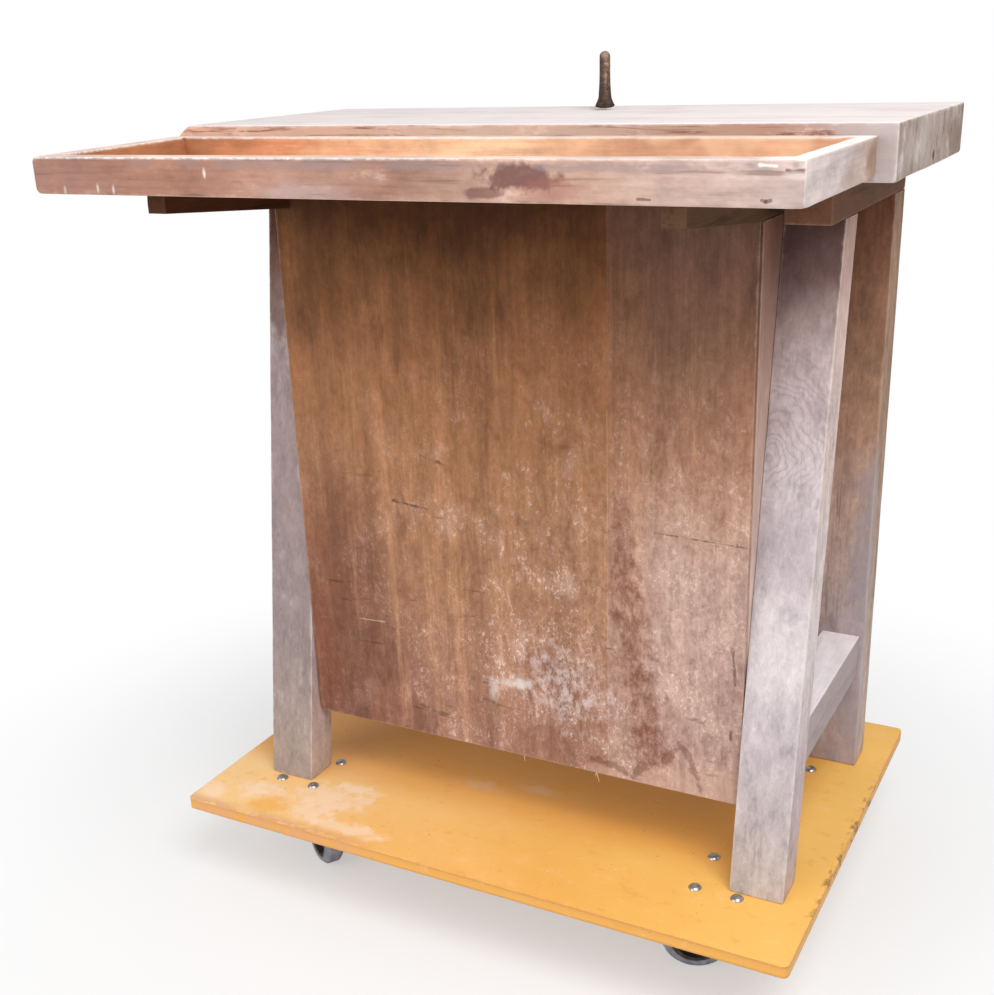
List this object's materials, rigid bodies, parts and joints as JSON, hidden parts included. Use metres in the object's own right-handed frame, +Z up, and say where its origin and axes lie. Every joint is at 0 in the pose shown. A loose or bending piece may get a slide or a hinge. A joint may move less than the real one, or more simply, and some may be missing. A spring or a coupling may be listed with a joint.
{
  "type": "sculptors workbench",
  "caption": "Carving bench with a thick plank top, front tool tray, splayed legs and plywood panel on a rolling platform with swivel casters; an iron holdfast stands in the top.",
  "frame": {"origin": "on the floor, under the middle of the bench's overall box", "axes": "+Z up; +X to the right of someone who faces the tool tray; +Y from the tray to the back of the top"},
  "size_m": [1.014, 0.7843, 1.2303],
  "materials": {
    "plank_wood": "bare, weathered and dusty",
    "tray_wood": "bare, worn at the edges",
    "leg_wood": "bare, greyed",
    "dark_wood": "dark stained",
    "plywood": "red-brown plywood, stained",
    "film_plywood": "yellow film-faced plywood",
    "zinc": "zinc plated",
    "iron": "forged, brown rust",
    "rubber": "matt grey",
    "hub_plastic": "matt black"
  },
  "bodies": {
    "bench": {"top_slab": "plank_wood", "tray_front_rail": "tray_wood", "tray_back_rail": "tray_wood", "tray_left_end": "tray_wood", "tray_right_end": "tray_wood", "tray_bottom": "tray_wood", "tray_arm_left": "dark_wood", "tray_arm_right": "dark_wood", "bearer_left": "leg_wood", "bearer_right": "leg_wood", "leg_front_left": "leg_wood", "leg_front_right": "leg_wood", "leg_rear_left": "leg_wood", "leg_rear_right": "leg_wood", "stretcher_left": "leg_wood", "stretcher_right": "leg_wood", "rear_rail": "leg_wood", "plywood_panel": "plywood", "panel_cheek_left": "plywood", "panel_cheek_right": "plywood", "platform_board": "film_plywood", "bearer_screw_front_left": "zinc", "bearer_screw_front_right": "zinc", "bearer_screw_rear_left": "zinc", "bearer_screw_rear_right": "zinc", "arm_screw_front_left": "zinc", "arm_screw_front_right": "zinc", "arm_screw_rear_left": "zinc", "arm_screw_rear_right": "zinc", "caster_front_left_plate": "zinc", "caster_front_left_race": "zinc", "caster_front_left_kingpin": "zinc", "caster_front_right_plate": "zinc", "caster_front_right_race": "zinc", "caster_front_right_kingpin": "zinc", "caster_rear_left_plate": "zinc", "caster_rear_left_race": "zinc", "caster_rear_left_kingpin": "zinc", "caster_rear_right_plate": "zinc", "caster_rear_right_race": "zinc", "caster_rear_right_kingpin": "zinc"},
    "caster_front_left_swivel": {"caster_front_left_fork": "zinc", "caster_front_left_axle": "zinc"},
    "caster_front_left_wheel": {"caster_front_left_hub": "hub_plastic", "caster_front_left_tyre": "rubber"},
    "caster_front_right_swivel": {"caster_front_right_fork": "zinc", "caster_front_right_axle": "zinc"},
    "caster_front_right_wheel": {"caster_front_right_hub": "hub_plastic", "caster_front_right_tyre": "rubber"},
    "caster_rear_left_swivel": {"caster_rear_left_fork": "zinc", "caster_rear_left_axle": "zinc"},
    "caster_rear_left_wheel": {"caster_rear_left_hub": "hub_plastic", "caster_rear_left_tyre": "rubber"},
    "caster_rear_right_swivel": {"caster_rear_right_fork": "zinc", "caster_rear_right_axle": "zinc"},
    "caster_rear_right_wheel": {"caster_rear_right_hub": "hub_plastic", "caster_rear_right_tyre": "rubber"},
    "holdfast": {"holdfast": "iron"}
  },
  "joints": [
    {"name": "caster_front_left_turn", "type": "hinge", "parent": "bench", "child": "caster_front_left_swivel", "pos_m": [-0.3535, -0.1345, 0.11], "axis": [0, 0, 1], "continuous": true},
    {"name": "caster_front_left_roll", "type": "hinge", "parent": "caster_front_left_swivel", "child": "caster_front_left_wheel", "pos_m": [-0.32237, -0.1563, 0.05], "axis": [0.5736, 0.8192, 0], "continuous": true},
    {"name": "caster_front_right_turn", "type": "hinge", "parent": "bench", "child": "caster_front_right_swivel", "pos_m": [0.3485, -0.1345, 0.11], "axis": [0, 0, 1], "continuous": true},
    {"name": "caster_front_right_roll", "type": "hinge", "parent": "caster_front_right_swivel", "child": "caster_front_right_wheel", "pos_m": [0.31279, -0.1475, 0.05], "axis": [0.342, -0.9397, 0], "continuous": true},
    {"name": "caster_rear_left_turn", "type": "hinge", "parent": "bench", "child": "caster_rear_left_swivel", "pos_m": [-0.3535, 0.2395, 0.11], "axis": [0, 0, 1], "continuous": true},
    {"name": "caster_rear_left_roll", "type": "hinge", "parent": "caster_rear_left_swivel", "child": "caster_rear_left_wheel", "pos_m": [-0.32439, 0.26393, 0.05], "axis": [-0.6428, 0.766, 0], "continuous": true},
    {"name": "caster_rear_right_turn", "type": "hinge", "parent": "bench", "child": "caster_rear_right_swivel", "pos_m": [0.3485, 0.2395, 0.11], "axis": [0, 0, 1], "continuous": true},
    {"name": "caster_rear_right_roll", "type": "hinge", "parent": "caster_rear_right_swivel", "child": "caster_rear_right_wheel", "pos_m": [0.31559, 0.2585, 0.05], "axis": [-0.5, -0.866, 0], "continuous": true},
    {"name": "holdfast_lift", "type": "slide", "parent": "bench", "child": "holdfast", "axis": [0, 0, 1], "range_m": [0, 0.15]}
  ]
}
